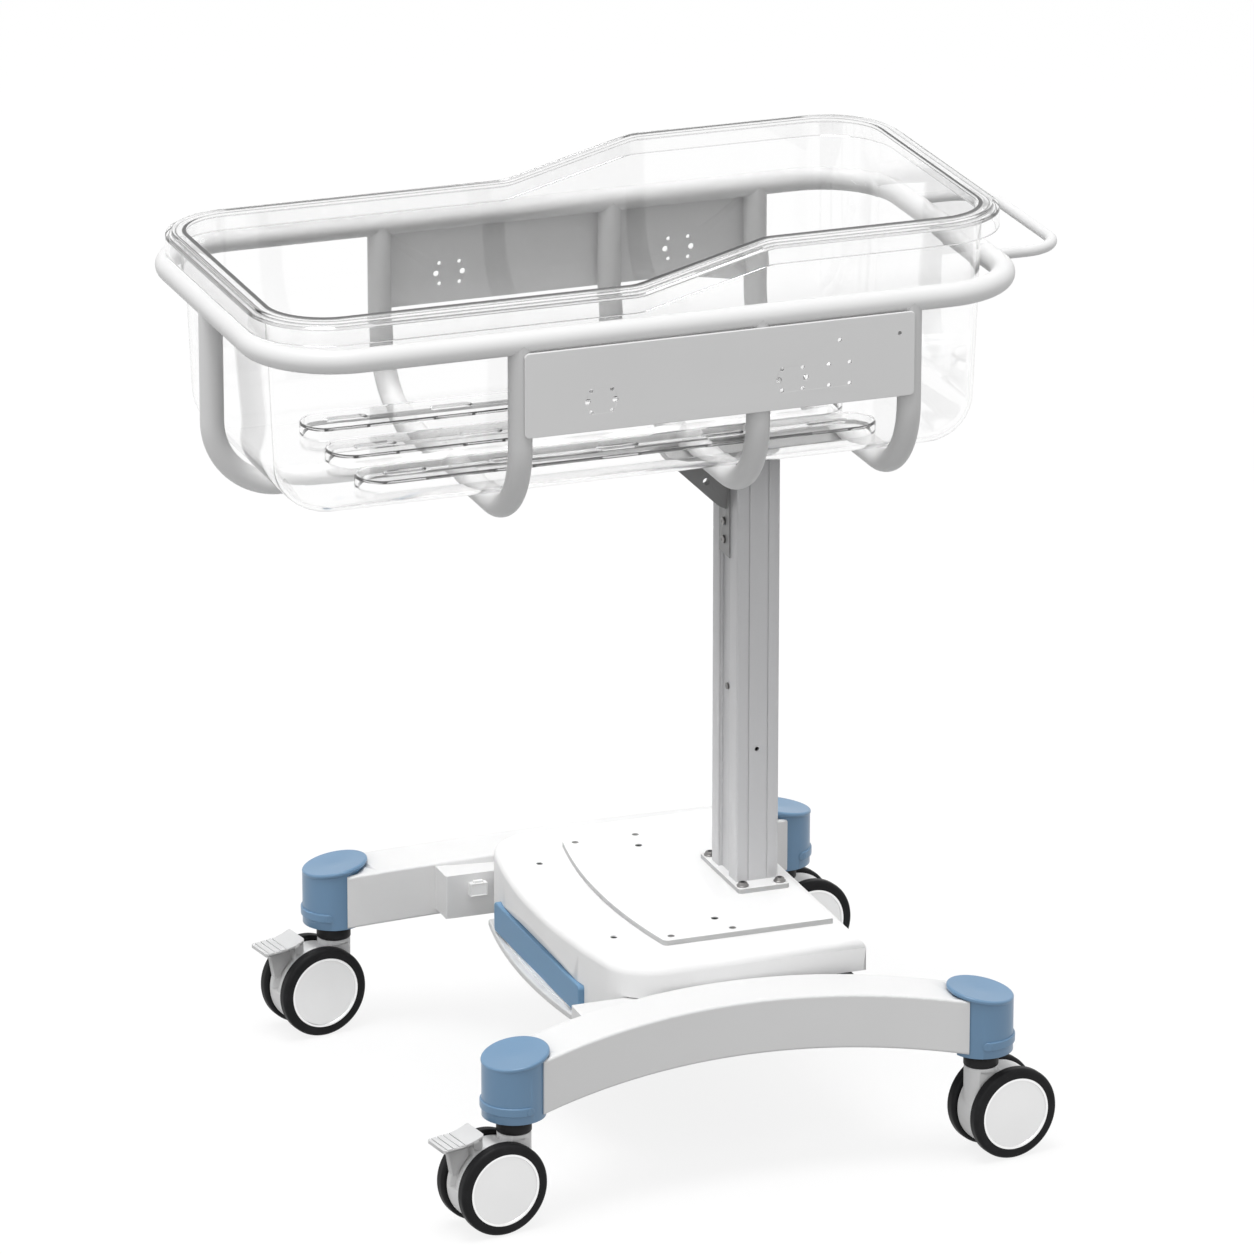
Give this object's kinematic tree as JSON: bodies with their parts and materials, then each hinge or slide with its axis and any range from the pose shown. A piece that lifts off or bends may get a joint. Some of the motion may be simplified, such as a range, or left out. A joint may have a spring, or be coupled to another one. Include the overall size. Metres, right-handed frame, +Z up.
{
  "type": "hospital bassinet",
  "caption": "Hospital bassinet on casters: clear lift-out tray with a raised head rim in a tubular cradle, on a column over a low bowed base with braked foot casters.",
  "frame": {"origin": "centre of the bounding box, on the floor under the wheels", "axes": "+X towards the head end with the push handle, -X towards the foot end with the brakes, +Y to the far side, +Z up"},
  "size_m": [0.918, 0.6658, 1.0018],
  "materials": {
    "tube_white": "gloss white powder coat",
    "panel_grey": "satin grey powder coat",
    "tray_clear": "clear polished plastic",
    "bracket_grey": "satin grey",
    "column_aluminium": "satin anodised",
    "steel": "plain zinc",
    "base_white": "smooth white moulding",
    "beam_white": "white powder coat",
    "sill_grey": "smooth light grey",
    "chassis_steel": "dark primer",
    "bumper_blue": "smooth blue",
    "cap_blue": "smooth blue moulding",
    "collar_black": "black moulding",
    "housing_grey": "light grey moulding",
    "hub_white": "light grey disc",
    "tyre_black": "smooth black tread",
    "pedal_white": "light grey moulding"
  },
  "bodies": {
    "frame": {"base_chassis": "chassis_steel", "base_cover": "base_white", "beam_far": "beam_white", "beam_near": "beam_white", "cap_foot_far": "cap_blue", "cap_foot_near": "cap_blue", "cap_head_far": "cap_blue", "cap_head_near": "cap_blue", "caster_foot_far_stem": "collar_black", "caster_foot_near_stem": "collar_black", "caster_head_far_stem": "collar_black", "caster_head_near_stem": "collar_black", "channel_screws": "steel", "column_flange": "base_white", "column_profile": "column_aluminium", "cover_screws": "steel", "cradle_plate": "bracket_grey", "flange_bolts": "steel", "foot_bumper": "bumper_blue", "foot_sill": "sill_grey", "gusset_bracket": "bracket_grey", "hoop_foot": "tube_white", "hoop_head": "tube_white", "hoop_middle": "tube_white", "joint_block_far": "beam_white", "joint_block_near": "beam_white", "push_handle": "tube_white", "ring_rail": "tube_white", "side_panel_far": "panel_grey", "side_panel_near": "panel_grey", "spine_foot": "tube_white", "spine_head": "tube_white", "spine_middle": "tube_white"},
    "tray": {"tray": "tray_clear"},
    "caster_foot_near": {"caster_foot_near_housing": "housing_grey", "caster_foot_near_axle": "steel"},
    "caster_foot_near_wheel_a": {"caster_foot_near_hub_a": "hub_white", "caster_foot_near_tyre_a": "tyre_black"},
    "caster_foot_near_wheel_b": {"caster_foot_near_hub_b": "hub_white", "caster_foot_near_tyre_b": "tyre_black"},
    "caster_foot_near_pedal": {"caster_foot_near_pedal": "pedal_white"},
    "caster_foot_far": {"caster_foot_far_housing": "housing_grey", "caster_foot_far_axle": "steel"},
    "caster_foot_far_wheel_a": {"caster_foot_far_hub_a": "hub_white", "caster_foot_far_tyre_a": "tyre_black"},
    "caster_foot_far_wheel_b": {"caster_foot_far_hub_b": "hub_white", "caster_foot_far_tyre_b": "tyre_black"},
    "caster_foot_far_pedal": {"caster_foot_far_pedal": "pedal_white"},
    "caster_head_near": {"caster_head_near_housing": "housing_grey", "caster_head_near_axle": "steel"},
    "caster_head_near_wheel_a": {"caster_head_near_hub_a": "hub_white", "caster_head_near_tyre_a": "tyre_black"},
    "caster_head_near_wheel_b": {"caster_head_near_hub_b": "hub_white", "caster_head_near_tyre_b": "tyre_black"},
    "caster_head_far": {"caster_head_far_housing": "housing_grey", "caster_head_far_axle": "steel"},
    "caster_head_far_wheel_a": {"caster_head_far_hub_a": "hub_white", "caster_head_far_tyre_a": "tyre_black"},
    "caster_head_far_wheel_b": {"caster_head_far_hub_b": "hub_white", "caster_head_far_tyre_b": "tyre_black"}
  },
  "joints": [
    {"name": "tray_lift", "type": "slide", "parent": "frame", "child": "tray", "axis": [0, 0, 1], "range_m": [0, 0.24]},
    {"name": "caster_foot_near_swivel", "type": "hinge", "parent": "frame", "child": "caster_foot_near", "pos_m": [-0.225, -0.292, 0.1], "axis": [0, 0, 1], "continuous": true},
    {"name": "caster_foot_near_wheel_a_spin", "type": "hinge", "parent": "caster_foot_near", "child": "caster_foot_near_wheel_a", "pos_m": [-0.25428, -0.27335, 0.05], "axis": [0.1564, -0.9877, 0], "continuous": true},
    {"name": "caster_foot_near_wheel_b_spin", "type": "hinge", "parent": "caster_foot_near", "child": "caster_foot_near_wheel_b", "pos_m": [-0.24708, -0.31878, 0.05], "axis": [0.1564, -0.9877, 0], "continuous": true},
    {"name": "caster_foot_near_brake", "type": "hinge", "parent": "caster_foot_near", "child": "caster_foot_near_pedal", "pos_m": [-0.27142, -0.29935, 0.0965], "axis": [0.1564, -0.9877, 0], "range_deg": [0, 11]},
    {"name": "caster_foot_far_swivel", "type": "hinge", "parent": "frame", "child": "caster_foot_far", "pos_m": [-0.225, 0.292, 0.1], "axis": [0, 0, 1], "continuous": true},
    {"name": "caster_foot_far_wheel_a_spin", "type": "hinge", "parent": "caster_foot_far", "child": "caster_foot_far_wheel_a", "pos_m": [-0.25428, 0.31065, 0.05], "axis": [0.1564, -0.9877, 0], "continuous": true},
    {"name": "caster_foot_far_wheel_b_spin", "type": "hinge", "parent": "caster_foot_far", "child": "caster_foot_far_wheel_b", "pos_m": [-0.24708, 0.26522, 0.05], "axis": [0.1564, -0.9877, 0], "continuous": true},
    {"name": "caster_foot_far_brake", "type": "hinge", "parent": "caster_foot_far", "child": "caster_foot_far_pedal", "pos_m": [-0.27142, 0.28465, 0.0965], "axis": [0.1564, -0.9877, 0], "range_deg": [0, 11]},
    {"name": "caster_head_near_swivel", "type": "hinge", "parent": "frame", "child": "caster_head_near", "pos_m": [0.295, -0.292, 0.1], "axis": [0, 0, 1], "continuous": true},
    {"name": "caster_head_near_wheel_a_spin", "type": "hinge", "parent": "caster_head_near", "child": "caster_head_near_wheel_a", "pos_m": [0.32428, -0.31065, 0.05], "axis": [-0.1564, 0.9877, 0], "continuous": true},
    {"name": "caster_head_near_wheel_b_spin", "type": "hinge", "parent": "caster_head_near", "child": "caster_head_near_wheel_b", "pos_m": [0.31708, -0.26522, 0.05], "axis": [-0.1564, 0.9877, 0], "continuous": true},
    {"name": "caster_head_far_swivel", "type": "hinge", "parent": "frame", "child": "caster_head_far", "pos_m": [0.295, 0.292, 0.1], "axis": [0, 0, 1], "continuous": true},
    {"name": "caster_head_far_wheel_a_spin", "type": "hinge", "parent": "caster_head_far", "child": "caster_head_far_wheel_a", "pos_m": [0.32428, 0.27335, 0.05], "axis": [-0.1564, 0.9877, 0], "continuous": true},
    {"name": "caster_head_far_wheel_b_spin", "type": "hinge", "parent": "caster_head_far", "child": "caster_head_far_wheel_b", "pos_m": [0.31708, 0.31878, 0.05], "axis": [-0.1564, 0.9877, 0], "continuous": true}
  ]
}
